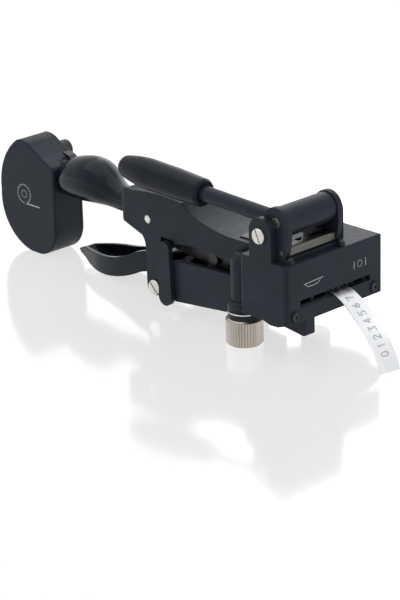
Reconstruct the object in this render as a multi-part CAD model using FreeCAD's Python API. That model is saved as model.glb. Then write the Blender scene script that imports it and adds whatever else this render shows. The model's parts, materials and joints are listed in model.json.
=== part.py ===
"""Hand-held metal-tape label embosser, built as an assembly of separate pieces.

Everything is drawn about the front housing: x is 0 on the housing's centre
plane, y is 0 on its front face and grows towards the magazine, and z is 0 on
the surface that the tool rests on. export() moves every piece so that the
origin is the centre of the depth knob's foot. All sizes are millimetres.
"""
import FreeCAD, Part
import math
import os

Vector = FreeCAD.Vector

# ---------------------------------------------------------------- driving sizes
TAPE_WIDTH = 12.0
TAPE_THICKNESS = 0.30
TAPE_X = 3.65             # centre plane of the tape
LABEL_LINE = (             # centre of the label's lower face and its turn about Z
    (3.65, 3.0, 29.16, 0.0),
    (3.65, 0.4, 29.06, 0.0),
    (3.5, -6.9, 26.1, -2.0),
    (2.92, -13.2, 22.3, -6.0),
    (2.06, -18.85, 18.5, -10.0),
    (0.86, -24.7, 14.4, -12.5),
    (-0.72, -29.97, 10.3, -12.5),
    (-2.44, -34.5, 6.4, -11.5),
    (-4.12, -37.96, 2.85, -11.0),
    (-5.26, -39.94, 0.1, -11.0),
)
TAPE_Z = 29.30            # mid-height of the tape in the embossing station

HOUSING_HALF_WIDTH = 33.35
HOUSING_DEPTH = 31.4
HOUSING_TOP = 50.2
PARTING_Z = 22.9          # housing above, base plate below
BASE_BOTTOM = 20.2
WALL = 3.0

BODY_NEAR = -21.0         # outer face of the body's near wall
BODY_FAR = 16.0
HUMP_FAR = ((78.0, 4.5), (90.0, 5.5), (130.0, 12.5))   # far edge of the hump: (y, x)
BODY_START = HOUSING_DEPTH
LOWER_BODY_START = 48.2

FACE_SCREW_X = (-27.4, 28.2)
FACE_SCREW_Z = 23.9
FACE_BOSS_RADIUS = 3.0

EAR_FRONT = 10.0
EAR_REAR = 24.5
EAR_THICKNESS = 3.8
EAR_CENTRE_Z = 64.0
NEAR_EAR = -HOUSING_HALF_WIDTH
FAR_EAR = 13.2
EAR_SCREW_Y = 17.3
EAR_SCREW_Z = 62.4

CHEEK_THICKNESS = 3.0
NEAR_CHEEK = -29.3
LUG_X = (-27.8, 7.1)      # front lugs of the lever frame
FAR_CHEEK = 5.6
LEVER_AXIS_Y = 10.7
LEVER_AXIS_Z = 69.0
DRUM_RADIUS = 7.25
TUBE_RADIUS = 4.0
TUBE_X = -21.5
TUBE_RISE = 2.1           # degrees the lever tube rises towards the rear
GRIP_START = 66.0
GRIP_END = 125.8

PLUNGER_X = 2.6
CAM_OFFSET = 3.0
CAM_ANGLE = 35.0          # degrees from straight down towards the rear
CAM_RADIUS = 7.0

SEAT_Z = 44.8
HANDLE_X = 3.2            # centre plane of the rear handle

WHEEL_X = 22.0
WHEEL_Y = 34.0
WHEEL_RADIUS = 28.0
DIE_COUNT = 36
EMBOSS_Y = 18.5
UPPER_WHEEL = (30.2, 33.8)
LOWER_WHEEL = (24.6, 28.4)
SHAFT_RADIUS = 3.0

KNOB_X = -24.0
KNOB_Y = 38.0
KNOB_RADIUS = 9.25
LUG_RADIUS = 8.4
KNOB_HEIGHT = 13.6
DEPTH_SCREW_RADIUS = 2.5
COLUMN_RADIUS = 6.5

LEG_FRONT = 99.6
TRIGGER_X = 1.5
TRIGGER_Y = 104.4
TRIGGER_Z = 11.3
LINK_Y = 94.6
LINK_LOW_Z = 9.5
LINK_HIGH_Z = 35.0
ROCKER_Y = 67.0
ROCKER_Z = 34.0
LINK_PIN_RADIUS = 1.5

GUIDE_POST_X = (-11.5, 13.0)
GUIDE_POST_Y = 4.65

FEED_Y = 74.0
FEED_RADIUS = 5.0
IDLER_RADIUS = 4.5

MAG_NEAR = -8.3
MAG_FAR = 12.2
MAG_WALL = 1.8
SPOOL_Y = 217.5
SPOOL_Z = 30.0
ROLL_RADIUS = 18.4
CORE_RADIUS = 9.0
THUMB_Y = 213.6
THUMB_Z = 53.1

RUNNING = 0.05            # radial clearance of a running fit
GAP = 0.3                 # gap between pieces that move past each other

parts = {}


# ---------------------------------------------------------------- small helpers
def box(x0, x1, y0, y1, z0, z1):
    return Part.makeBox(x1 - x0, y1 - y0, z1 - z0, Vector(x0, y0, z0))


def cyl_x(x0, x1, y, z, radius):
    return Part.makeCylinder(radius, x1 - x0, Vector(x0, y, z), Vector(1, 0, 0))


def cyl_y(y0, y1, x, z, radius):
    return Part.makeCylinder(radius, y1 - y0, Vector(x, y0, z), Vector(0, 1, 0))


def cyl_z(z0, z1, x, y, radius):
    return Part.makeCylinder(radius, z1 - z0, Vector(x, y, z0), Vector(0, 0, 1))


def fuse(first, *others):
    result = first
    for other in others:
        result = result.fuse(other)
    return result.removeSplitter()


def cut(first, *others):
    result = first
    for other in others:
        result = result.cut(other)
    return result


def side_face(x, steps):
    """Closed outline in the side view at x: each step is an end point (y, z),
    or a pair of points (through, end) for an arc."""
    edges = []
    here = Vector(x, *steps[0])
    for step in steps[1:]:
        if isinstance(step[0], tuple):
            through = Vector(x, *step[0])
            end = Vector(x, *step[1])
            edges.append(Part.Arc(here, through, end).toShape())
        else:
            end = Vector(x, *step)
            edges.append(Part.makeLine(here, end))
        here = end
    start = Vector(x, *steps[0])
    if here.distanceToPoint(start) > 1e-6:
        edges.append(Part.makeLine(here, start))
    return Part.Face(Part.Wire(edges))


def side_prism(x0, x1, steps):
    return side_face(x0, steps).extrude(Vector(x1 - x0, 0, 0))


def along(edge, axis):
    """True where an edge is straight and parallel to the axis."""
    if edge.Curve.TypeId != "Part::GeomLine":
        return False
    direction = edge.Vertexes[-1].Point - edge.Vertexes[0].Point
    direction.normalize()
    return abs(abs(direction.dot(axis)) - 1.0) < 1e-4


def round_edges(shape, radius, wanted):
    edges = [edge for edge in shape.Edges if wanted(edge)]
    return shape.makeFillet(radius, edges)


def slot_x(x0, x1, y, z, radius, half_travel):
    """Slot along Y, cut through X."""
    middle = box(x0, x1, y - half_travel, y + half_travel, z - radius, z + radius)
    front = cyl_x(x0, x1, y - half_travel, z, radius)
    rear = cyl_x(x0, x1, y + half_travel, z, radius)
    return fuse(middle, front, rear)


def link_bar(x0, x1, start, end, start_radius, end_radius):
    """Flat bar in the side view that wraps round two eyes."""
    dy = end[0] - start[0]
    dz = end[1] - start[1]
    length = math.hypot(dy, dz)
    lean = math.asin((start_radius - end_radius) / length)
    heading = math.atan2(dz, dy)
    corners = []
    for centre, radius, side in (
        (start, start_radius, 1),
        (end, end_radius, 1),
        (end, end_radius, -1),
        (start, start_radius, -1),
    ):
        angle = heading + side * (math.pi / 2 - lean)
        corners.append((centre[0] + radius * math.cos(angle), centre[1] + radius * math.sin(angle)))
    web = side_prism(x0, x1, corners)
    eye_a = cyl_x(x0, x1, start[0], start[1], start_radius)
    eye_b = cyl_x(x0, x1, end[0], end[1], end_radius)
    return fuse(web, eye_a, eye_b)


def coil_spring(centre, axis, length, radius, wire, turns):
    """Closed helix of round wire that starts at the centre and runs along +Z,
    then turned so that it runs along the axis."""
    helix = Part.makeHelix(length / turns, length, radius)
    section = Part.Wire([Part.Circle(Vector(radius, 0, 0), Vector(0, 1, 0), wire / 2).toShape()])
    solid = Part.Wire(helix.Edges).makePipeShell([section], True, True)
    turn = FreeCAD.Rotation(Vector(0, 0, 1), axis)
    solid.Placement = FreeCAD.Placement(centre, turn)
    return solid


def export(name, shape):
    solid = shape.copy()
    solid.translate(Vector(-KNOB_X, -KNOB_Y, 0))
    parts[name] = solid
    solid.exportStep(os.path.join("parts", name + ".step"))


def group(shapes):
    return Part.makeCompound(shapes)


# ---------------------------------------------------------------- front housing
def ear(x0):
    half = (EAR_REAR - EAR_FRONT) / 2
    middle = (EAR_REAR + EAR_FRONT) / 2
    top = EAR_CENTRE_Z + half
    return side_prism(x0, x0 + EAR_THICKNESS, [
        (EAR_FRONT, HOUSING_TOP - 1.5),
        (EAR_FRONT, EAR_CENTRE_Z),
        ((middle, top), (EAR_REAR, EAR_CENTRE_Z)),
        (EAR_REAR, HOUSING_TOP - 1.5),
    ])


def far_front(edge):
    return edge.BoundBox.XMin > 30.0 and edge.BoundBox.YMax < 1.2


def front_housing():
    side = HOUSING_HALF_WIDTH
    block = box(-side, side, 0, HOUSING_DEPTH, PARTING_Z, HOUSING_TOP)
    block = round_edges(block, 0.8, lambda e: along(e, Vector(0, 0, 1)) and far_front(e))
    block = round_edges(block, 2.2, lambda e: along(e, Vector(0, 0, 1)) and not far_front(e))
    block = round_edges(block, 0.9, lambda e: e.BoundBox.ZMin > HOUSING_TOP - 0.01)
    cavity = box(-side + WALL, side - WALL, WALL, HOUSING_DEPTH - WALL, PARTING_Z - 1, HOUSING_TOP - WALL)
    rear_opening = box(-18.0, 29.0, 25.0, 35.0, PARTING_Z - 1, 44.2)
    wheel_slot = box(-8.0, 40.0, 5.4, 35.0, PARTING_Z - 1, 36.2)
    label_slot = box(-24.0, 25.0, -1, WALL + 1, 28.3, 31.3)
    scoop = side_prism(-24.0, 7.1, [(-1, 26.2), (-1, 31.3), (1.8, 31.3), (1.8, 28.6)])
    plunger_hole = box(PLUNGER_X - 3.1, PLUNGER_X + 3.1, EMBOSS_Y - 3.1, EMBOSS_Y + 3.1, 40.0, 60.0)
    block = cut(block, cavity, rear_opening, wheel_slot, label_slot, scoop, plunger_hole)
    bosses = [cyl_y(-0.9, 5.2, x, FACE_SCREW_Z, FACE_BOSS_RADIUS) for x in FACE_SCREW_X]
    block = fuse(block, ear(NEAR_EAR), ear(FAR_EAR), *bosses)
    holes = [cyl_y(-2, 10, x, FACE_SCREW_Z, 1.25) for x in FACE_SCREW_X]
    recesses = [cyl_y(-2, 0.1, x, FACE_SCREW_Z, 2.25) for x in FACE_SCREW_X]
    ear_holes = [
        cyl_x(NEAR_EAR - 1, NEAR_EAR + EAR_THICKNESS + 1, EAR_SCREW_Y, EAR_SCREW_Z, 2.55),
        cyl_x(FAR_EAR - 1, FAR_EAR + EAR_THICKNESS + 1, EAR_SCREW_Y, EAR_SCREW_Z, 2.55),
    ]
    return cut(block, *(holes + recesses + ear_holes))


def base_plate():
    side = HOUSING_HALF_WIDTH
    plate = box(-side, side, 0, HOUSING_DEPTH, BASE_BOTTOM, PARTING_Z)
    plate = round_edges(plate, 0.8, lambda e: along(e, Vector(0, 0, 1)) and far_front(e))
    plate = round_edges(plate, 2.2, lambda e: along(e, Vector(0, 0, 1)) and not far_front(e))
    near_lug = box(KNOB_X - LUG_RADIUS, KNOB_X + LUG_RADIUS, 20.0, KNOB_Y, BASE_BOTTOM, BASE_BOTTOM + 1.0)
    near_round = cyl_z(BASE_BOTTOM, BASE_BOTTOM + 1.0, KNOB_X, KNOB_Y, LUG_RADIUS)
    taper_height = PARTING_Z - BASE_BOTTOM - 1.0
    taper_base = Vector(KNOB_X, KNOB_Y, BASE_BOTTOM + 1.0)
    near_taper = Part.makeCone(LUG_RADIUS, COLUMN_RADIUS + 0.4, taper_height, taper_base)
    far_lug = box(WHEEL_X - 9.0, WHEEL_X + 9.0, 20.0, WHEEL_Y, BASE_BOTTOM, PARTING_Z)
    far_round = cyl_z(BASE_BOTTOM, PARTING_Z, WHEEL_X, WHEEL_Y, 9.0)
    neck = box(-14.0, 12.0, 20.0, LOWER_BODY_START, BASE_BOTTOM, PARTING_Z)
    boss = cyl_z(17.5, BASE_BOTTOM, KNOB_X, KNOB_Y, LUG_RADIUS - 0.2)
    rib = side_prism(-side, -20.6, [
        (2.2, BASE_BOTTOM + 0.5), (2.2, BASE_BOTTOM), (6.0, 18.8), (11.0, 18.6), (16.7, BASE_BOTTOM),
        (16.7, BASE_BOTTOM + 0.5),
    ])
    plate = fuse(plate, near_lug, near_round, near_taper, far_lug, far_round, neck, boss, rib)
    depth_hole = cyl_z(10, 30, KNOB_X, KNOB_Y, DEPTH_SCREW_RADIUS + RUNNING)
    shaft_hole = cyl_z(10, 30, WHEEL_X, WHEEL_Y, SHAFT_RADIUS + RUNNING)
    bosses = [cyl_y(-2, 5.2, x, FACE_SCREW_Z, FACE_BOSS_RADIUS) for x in FACE_SCREW_X]
    return cut(plate, depth_hole, shaft_hole, *bosses)


def depth_column():
    """Round column beside the body that guides the depth screw."""
    column = cyl_z(PARTING_Z, 44.5, KNOB_X, KNOB_Y, COLUMN_RADIUS)
    cap = Part.makeCone(COLUMN_RADIUS, COLUMN_RADIUS - 2.2, 2.2, Vector(KNOB_X, KNOB_Y, 44.5))
    bore = cyl_z(10.0, 34.0, KNOB_X, KNOB_Y, DEPTH_SCREW_RADIUS + RUNNING)
    body_side_box = box(BODY_NEAR, 0, 20, 60, 10, 60)
    return cut(fuse(column, cap), bore, body_side_box, box(-40, 0, 0, HOUSING_DEPTH, 10, 60))


def support_foot():
    foot = side_prism(-20.4, -13.2, [
        (0.6, BASE_BOTTOM), (0.6, 12.6), ((0.9, 11.9), (1.6, 11.6)), (16.0, 13.4), (16.0, BASE_BOTTOM),
    ])
    return round_edges(foot, 0.8, lambda e: along(e, Vector(0, 0, 1)) and e.BoundBox.YMin < 1.0)


def rear_foot():
    """Round foot under the lower body, on the far side of the centre plane."""
    pad = cyl_z(0.0, 13.0, 10.0, 62.0, 5.0)
    pad = round_edges(pad, 0.8, lambda e: e.BoundBox.ZMax < 0.01)
    return pad.cut(lower_body())


# ---------------------------------------------------------------- body casting
def hump_plan():
    """Plan view of the raised part of the body, narrower than the body itself."""
    corners = [(BODY_NEAR, BODY_START), (HUMP_FAR[0][1], BODY_START)]
    corners += [(x, y) for y, x in HUMP_FAR]
    corners += [(BODY_NEAR, HUMP_FAR[-1][0])]
    points = [Vector(x, y, 0) for x, y in corners]
    outline = Part.Wire(Part.makePolygon(points + points[:1]))
    return Part.Face(outline).extrude(Vector(0, 0, 80))


def body_side(top):
    """Side view of the body below a given top line, which runs from front to rear."""
    return top + [
        (128.8, 45.0), ((127.6, 42.6), (125.0, 41.2)), (113.4, 37.2), ((111.6, 34.6), (111.0, 29.6)),
        (110.6, 11.8), ((TRIGGER_Y + 0.6, 6.6), (LEG_FRONT, 11.8)), (LEG_FRONT, 39.4), (90.4, 39.4),
        (90.4, 37.4), ((72.4, 39.5), (53.8, 37.5)), ((50.4, 36.6), (LOWER_BODY_START, 34.4)),
        (LOWER_BODY_START, PARTING_Z), (BODY_START, PARTING_Z),
    ]


def upper_body():
    low_top = [(BODY_START, 50.6), (127.0, 50.6), ((128.6, 49.8), (129.2, 48.0))]
    high_top = [
        (BODY_START, 50.6), (50.0, 50.6), ((61.0, 51.7), (70.5, 53.9)), ((78.4, 57.0), (84.0, 60.4)),
        ((100.0, 61.2), (121.0, 59.4)), ((128.4, 57.4), (129.4, 51.0)),
    ]
    low = side_prism(BODY_NEAR, BODY_FAR, body_side(low_top))
    high = side_prism(BODY_NEAR, BODY_FAR, body_side(high_top)).common(hump_plan())
    plan = box(BODY_NEAR, BODY_FAR, BODY_START, 129.4, 0, 70)
    plan = round_edges(plan, 3.5, lambda e: along(e, Vector(0, 0, 1)) and e.BoundBox.YMin > 129.0)
    outer = low.fuse(high).common(plan)
    inner_near = BODY_NEAR + WALL
    inner_far = BODY_FAR - WALL
    hollow = side_prism(inner_near, inner_far, [
        (BODY_START - 1, 47.6), (121.0, 47.6), (121.0, 45.0), (110.0, 40.2), (107.6, 30.0), (107.6, 5.0),
        (98.0, 5.0), (50.0, 5.0), (BODY_START - 1, 5.0),
    ])
    hump_hollow = side_prism(inner_near, HUMP_FAR[0][1] - WALL, [
        (60.0, 47.0), (60.0, 48.6), ((70.5, 50.6), (78.4, 53.9)), (85.0, 57.4), (114.0, 56.8), (114.0, 47.0),
    ])
    trigger_mouth = box(inner_near, inner_far, LEG_FRONT - 1, 114.0, 0.0, 30.0)
    wheel_slot = box(-18.0, 60.0, BODY_START - 1, 62.6, PARTING_Z - 1, 36.2)
    handle_seat = cyl_y(119.0, 131.0, HANDLE_X, SEAT_Z, 7.05)
    body = cut(outer, hollow, hump_hollow, trigger_mouth, wheel_slot, handle_seat, tape_channel())
    bearing = cyl_z(36.2, 44.0, WHEEL_X, WHEEL_Y, 5.6)
    bearing_tie = box(BODY_FAR - WALL, WHEEL_X, BODY_START, WHEEL_Y + 5.6, 36.2, 44.0)
    body = fuse(body, bearing, bearing_tie)
    shaft_bore = cyl_z(30.0, 41.5, WHEEL_X, WHEEL_Y, SHAFT_RADIUS + RUNNING)
    pivot_bore = cyl_x(BODY_NEAR - 1, BODY_FAR + 1, TRIGGER_Y, TRIGGER_Z, 2.5)
    rivet_bore = cyl_x(BODY_NEAR - 1, BODY_FAR + 1, 109.0, 46.4, 1.3)
    return cut(body, shaft_bore, pivot_bore, rivet_bore)


def lower_body():
    outer = side_prism(BODY_NEAR, BODY_FAR, [
        (LOWER_BODY_START, 31.0), ((66.0, 30.4), (91.0, 28.4)), (91.0, 8.2),
        ((90.6, 7.3), (89.8, 7.1)), (LOWER_BODY_START, 11.4),
    ])
    hollow = box(BODY_NEAR + WALL, BODY_FAR - WALL, LOWER_BODY_START + WALL, 95.0, 13.6, 40.0)
    wheel_slot = box(0.0, 60.0, 40.0, 62.6, PARTING_Z - 0.6, 36.2)
    front_port = box(-17.0, 19.0, 40.0, 60.0, 23.2, 40.0)
    trough = cut(outer, hollow, wheel_slot, front_port)
    arm = box(BODY_FAR - WALL, BODY_FAR, 90.0, LEG_FRONT, 9.0, 28.4)
    return fuse(trough, arm)


def body_top_cover():
    """Ribbed steel strip let into the flat top of the body."""
    plate = box(-17.0, 12.0, 33.5, 47.0, 50.6, 51.2)
    slots = [box(-14.0, 9.0, y, y + 1.4, 50.9, 52.0) for y in (36.0, 39.5, 43.0)]
    return cut(plate, *slots)


def rear_handle():
    """Hand bulb between the body and the magazine, with the tape's channel."""
    sections = (
        (124.0, SEAT_Z, 7.05, 7.05),
        (131.0, SEAT_Z, 7.05, 7.05),
        (141.0, 42.9, 7.3, 6.6),
        (151.6, 41.9, 7.4, 6.8),
        (157.0, 43.0, 7.9, 7.6),
        (163.0, 45.3, 9.8, 9.7),
        (169.4, 47.0, 11.8, 11.7),
        (177.5, 47.1, 12.5, 12.4),
        (185.0, 46.3, 12.0, 11.9),
        (192.7, 44.9, 10.4, 10.4),
        (200.0, 43.8, 8.8, 8.8),
    )
    wires = []
    centre_x = HANDLE_X
    for y, z, half_x, half_z in sections:
        major = max(half_x, half_z)
        minor = min(half_x, half_z)
        circle = Part.Circle(Vector(centre_x, y, z), Vector(0, 1, 0), major).toShape()
        matrix = FreeCAD.Matrix()
        matrix.move(Vector(-centre_x, -y, -z))
        matrix.scale(1.0, 1.0, minor / major)
        matrix.move(Vector(centre_x, y, z))
        wires.append(Part.Wire([circle.transformGeometry(matrix).Edges[0]]))
    bulb = Part.makeLoft(wires, True, False)
    cover_gap = box(MAG_FAR - 2.3, MAG_FAR + 9, 195.7, 201.3, 30.0, 60.0)
    seat_ring = cyl_y(120.0, 129.6, HANDLE_X, SEAT_Z, 20.0).cut(cyl_y(119.0, 131.0, HANDLE_X, SEAT_Z, 7.05))
    return cut(bulb, seat_ring, tape_channel(), magazine_blank(MAG_NEAR - 5, MAG_FAR + 5), cover_gap)


# ---------------------------------------------------------------- tape
def tape_path_points():
    front = ((5.2, TAPE_Z), (84.0, TAPE_Z), (100.0, 38.5), (118.0, 44.4), (131.0, 44.4))
    rear = ((150.0, 42.2), (160.0, 44.2), (172.0, 47.0), (197.0, 48.0), (SPOOL_Y, 48.75))
    return front + rear


def offset_band(points, half, x0, x1):
    """Band of constant thickness along a chain of points in the side view."""
    upper = []
    lower = []
    last = len(points) - 1
    for index, (y, z) in enumerate(points):
        before = points[max(index - 1, 0)]
        after = points[min(index + 1, last)]
        dy = after[0] - before[0]
        dz = after[1] - before[1]
        length = math.hypot(dy, dz)
        upper.append((y - dz / length * half, z + dy / length * half))
        lower.append((y + dz / length * half, z - dy / length * half))
    return side_prism(x0, x1, upper + lower[::-1])


def tape_channel():
    points = [(112.0, 42.43)] + [p for p in tape_path_points() if p[0] > 112.0]
    points[-1] = (204.0, 48.3)
    return offset_band(points, 1.0, TAPE_X - TAPE_WIDTH / 2 - 0.25, TAPE_X + TAPE_WIDTH / 2 + 0.25)


def tape_strip():
    half = TAPE_WIDTH / 2
    return offset_band(tape_path_points(), TAPE_THICKNESS / 2, TAPE_X - half, TAPE_X + half)


def label_strip():
    """Finished label: leaves level, curls down to the surface and leans to the near side."""
    half = TAPE_WIDTH / 2
    near = []
    far = []
    for x, y, z, turn in LABEL_LINE:
        across = Vector(math.cos(math.radians(turn)), math.sin(math.radians(turn)), 0)
        near.append(Vector(x, y, z) - across * half)
        far.append(Vector(x, y, z) + across * half)
    edges = []
    for points in (near, far):
        curve = Part.BSplineCurve()
        curve.interpolate(points)
        edges.append(curve.toShape())
    sheet = Part.makeRuledSurface(edges[0], edges[1])
    return sheet.extrude(Vector(0, -0.2, 0.28))


# ---------------------------------------------------------------- lever frame
def cheek(x0):
    return side_prism(x0, x0 + CHEEK_THICKNESS, [
        (LEVER_AXIS_Y - 7.9, LEVER_AXIS_Z), ((LEVER_AXIS_Y, LEVER_AXIS_Z + 7.9), (LEVER_AXIS_Y + 7.9, LEVER_AXIS_Z)),
        ((20.0, 65.0), (22.5, 60.0)), (22.5, HOUSING_TOP + 2.0), (4.6, HOUSING_TOP + 2.0), (4.6, 53.0),
        ((2.9, 60.0), (LEVER_AXIS_Y - 7.9, LEVER_AXIS_Z)),
    ])


def lever_frame():
    floor_plate = box(NEAR_CHEEK, FAR_CHEEK + CHEEK_THICKNESS, 4.6, 23.0, HOUSING_TOP, HOUSING_TOP + 2.0)
    lugs = [box(x - 1.5, x + 1.5, 1.2, 4.7, HOUSING_TOP, HOUSING_TOP + 2.0) for x in LUG_X]
    floor_plate = fuse(floor_plate, *lugs)
    window = box(PLUNGER_X - 8.0, PLUNGER_X + 2.95, EMBOSS_Y - 6.5, EMBOSS_Y + 3.2, HOUSING_TOP - 1, HOUSING_TOP + 5)
    frame = cut(fuse(floor_plate, cheek(NEAR_CHEEK), cheek(FAR_CHEEK)), window)
    axle_hole = cyl_x(NEAR_CHEEK - 1, FAR_CHEEK + 5, LEVER_AXIS_Y, LEVER_AXIS_Z, 2.5)
    bar_hole = cyl_x(NEAR_CHEEK - 1, FAR_CHEEK + 5, 7.2, 55.0, 1.2)
    screw_hole = cyl_x(NEAR_CHEEK - 1, FAR_CHEEK + 5, EAR_SCREW_Y, EAR_SCREW_Z, 2.05)
    return cut(frame, axle_hole, bar_hole, screw_hole)


def frame_screws():
    """Small cheese-head screws on the lever frame's front lugs."""
    screws = []
    for x in LUG_X:
        head = cyl_z(HOUSING_TOP + 2.0, HOUSING_TOP + 3.1, x, 2.9, 1.45)
        slot = box(x - 2, x + 2, 2.65, 3.15, HOUSING_TOP + 2.6, HOUSING_TOP + 4)
        screws.append(head.cut(slot))
    return group(screws)


def stop_bar():
    """Steel cross bar between the cheeks, in front of and below the drum."""
    bar = box(NEAR_CHEEK + CHEEK_THICKNESS, FAR_CHEEK, 4.8, 9.6, 52.6, 57.4)
    bar = round_edges(bar, 1.1, lambda e: along(e, Vector(1, 0, 0)))
    ends = cyl_x(NEAR_CHEEK, FAR_CHEEK + CHEEK_THICKNESS, 7.2, 55.0, 1.2)
    return fuse(bar, ends)


def lever_axle():
    shank = cyl_x(NEAR_CHEEK, FAR_CHEEK + CHEEK_THICKNESS, LEVER_AXIS_Y, LEVER_AXIS_Z, 2.5)
    far_head = cyl_x(FAR_CHEEK + CHEEK_THICKNESS, FAR_CHEEK + CHEEK_THICKNESS + 1.2, LEVER_AXIS_Y, LEVER_AXIS_Z, 3.6)
    return fuse(shank, far_head)


def slotted_screw(x_head, direction, length, y, z, head_radius, shank_radius, slot_angle):
    """Pan head with a slot; the shank points along direction (+1 or -1 on X)."""
    head_height = 1.7
    axis = Vector(direction, 0, 0)
    shank = Part.makeCylinder(shank_radius, length, Vector(x_head, y, z), axis)
    head = Part.makeCylinder(head_radius, head_height, Vector(x_head, y, z), axis * -1)
    face = [e for e in head.Edges if abs(e.BoundBox.XMin - (x_head - direction * head_height)) < 0.01
            and abs(e.BoundBox.XMax - e.BoundBox.XMin) < 0.01]
    head = head.makeFillet(0.7, face)
    slot = box(x_head - 5, x_head + 5, -head_radius - 1, head_radius + 1, -0.55, 0.55)
    outer = x_head - direction * head_height
    keep = box(min(outer, outer + direction * 0.9) - (1 if direction > 0 else 0),
               max(outer, outer + direction * 0.9) + (0 if direction > 0 else 1),
               -head_radius - 1, head_radius + 1, -0.55, 0.55)
    slot = slot.common(keep)
    slot.rotate(Vector(0, 0, 0), Vector(1, 0, 0), slot_angle)
    slot.translate(Vector(0, y, z))
    return cut(fuse(shank, head), slot)


# ---------------------------------------------------------------- embossing lever
def lever_drum():
    x0 = NEAR_CHEEK + CHEEK_THICKNESS + 0.2
    x1 = FAR_CHEEK - 0.2
    drum = cyl_x(x0, x1, LEVER_AXIS_Y, LEVER_AXIS_Z, DRUM_RADIUS)
    drum = round_edges(drum, 0.5, lambda e: e.Curve.TypeId == "Part::GeomCircle")
    bore = cyl_x(x0 - 1, x1 + 1, LEVER_AXIS_Y, LEVER_AXIS_Z, 2.5 + RUNNING)
    socket = Part.makeCylinder(TUBE_RADIUS, 12.0, tube_point(LEVER_AXIS_Y + 3.2), tube_direction())
    return cut(drum, bore, socket)


def lever_cam():
    """Eccentric that presses the plunger, keyed to the drum."""
    angle = math.radians(CAM_ANGLE)
    y = LEVER_AXIS_Y + CAM_OFFSET * math.sin(angle)
    z = LEVER_AXIS_Z - CAM_OFFSET * math.cos(angle)
    disc = cyl_x(-5.2, 4.8, y, z, CAM_RADIUS)
    core = cyl_x(-6, 6, LEVER_AXIS_Y, LEVER_AXIS_Z, DRUM_RADIUS)
    return disc.cut(core)


def tube_direction():
    rise = math.radians(TUBE_RISE)
    return Vector(0, math.cos(rise), math.sin(rise))


def tube_point(y):
    """Point of the lever tube's axis at this y."""
    height = LEVER_AXIS_Z - 1.3 + (y - LEVER_AXIS_Y) * math.tan(math.radians(TUBE_RISE))
    return Vector(TUBE_X, y, height)


def lever_tube():
    length = GRIP_START + 44.0 - LEVER_AXIS_Y
    tube = Part.makeCylinder(TUBE_RADIUS, length, tube_point(LEVER_AXIS_Y + 3.2), tube_direction())
    hollow = Part.makeCylinder(TUBE_RADIUS - 1.1, length + 2, tube_point(LEVER_AXIS_Y + 6.0), tube_direction())
    return cut(tube, hollow)


def lever_grip():
    """Moulded grip, turned about the tube's axis."""
    length = GRIP_END - GRIP_START
    edges = [
        Part.makeLine(Vector(0, 0, 0), Vector(6.1, 0, 0)),
        Part.makeLine(Vector(6.1, 0, 0), Vector(7.1, 0, 1.6)),
        Part.makeLine(Vector(7.1, 0, 1.6), Vector(7.8, 0, 20.0)),
        Part.makeLine(Vector(7.8, 0, 20.0), Vector(7.8, 0, 34.0)),
        Part.Arc(Vector(7.8, 0, 34.0), Vector(7.3, 0, 47.0), Vector(5.9, 0, 55.0)).toShape(),
        Part.Arc(Vector(5.9, 0, 55.0), Vector(4.6, 0, 58.0), Vector(1.5, 0, length)).toShape(),
        Part.makeLine(Vector(1.5, 0, length), Vector(0, 0, length)),
        Part.makeLine(Vector(0, 0, length), Vector(0, 0, 0)),
    ]
    grip = Part.Face(Part.Wire(edges)).revolve(Vector(0, 0, 0), Vector(0, 0, 1), 360)
    grip = grip.cut(Part.makeCylinder(TUBE_RADIUS, 52.0))
    turn = FreeCAD.Rotation(Vector(0, 0, 1), tube_direction())
    grip.Placement = FreeCAD.Placement(tube_point(GRIP_START), turn)
    return grip


# ---------------------------------------------------------------- plunger
def cam_contact_z():
    return LEVER_AXIS_Z - CAM_OFFSET * math.cos(math.radians(CAM_ANGLE)) - CAM_RADIUS


def plunger():
    top = cam_contact_z() - 0.1
    head = box(PLUNGER_X - 7.6, PLUNGER_X + 2.6, EMBOSS_Y - 8.0, EMBOSS_Y + 2.9, top - 2.2, top)
    stem = box(PLUNGER_X - 2.95, PLUNGER_X + 2.6, EMBOSS_Y - 2.95, EMBOSS_Y + 2.95, 38.0, top - 2.2)
    tip = cyl_z(UPPER_WHEEL[1] + 0.3, 38.0, TAPE_X, EMBOSS_Y, 1.9)
    return fuse(head, stem, tip)


def plunger_spring():
    bottom = HOUSING_TOP + 0.3
    length = cam_contact_z() - 2.4 - bottom - 0.3
    return coil_spring(Vector(PLUNGER_X - 5.6, EMBOSS_Y - 2.0, bottom), Vector(0, 0, 1), length, 1.6, 0.5, 6)


# ---------------------------------------------------------------- character dial
def wheel_blank(z0, z1, radius):
    disc = cyl_z(z0, z1, WHEEL_X, WHEEL_Y, radius)
    hole = cyl_z(z0 - 1, z1 + 1, WHEEL_X, WHEEL_Y, SHAFT_RADIUS)
    notches = []
    for index in range(DIE_COUNT):
        angle = math.radians((index + 0.5) * 360.0 / DIE_COUNT)
        x = WHEEL_X + (radius + 0.55) * math.cos(angle)
        y = WHEEL_Y + (radius + 0.55) * math.sin(angle)
        notches.append(cyl_z(z0 - 1, z1 + 1, x, y, 1.25))
    return disc.cut(group(notches)).cut(hole)


def die_circle_radius():
    return math.hypot(WHEEL_X - TAPE_X, WHEEL_Y - EMBOSS_Y)


def die_marks(z0, z1, radius):
    """One small punch per character on the die circle."""
    first = math.atan2(EMBOSS_Y - WHEEL_Y, TAPE_X - WHEEL_X)
    marks = []
    for index in range(DIE_COUNT):
        angle = first + 2 * math.pi * index / DIE_COUNT
        x = WHEEL_X + die_circle_radius() * math.cos(angle)
        y = WHEEL_Y + die_circle_radius() * math.sin(angle)
        marks.append(cyl_z(z0, z1, x, y, radius))
    return group(marks)


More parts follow.
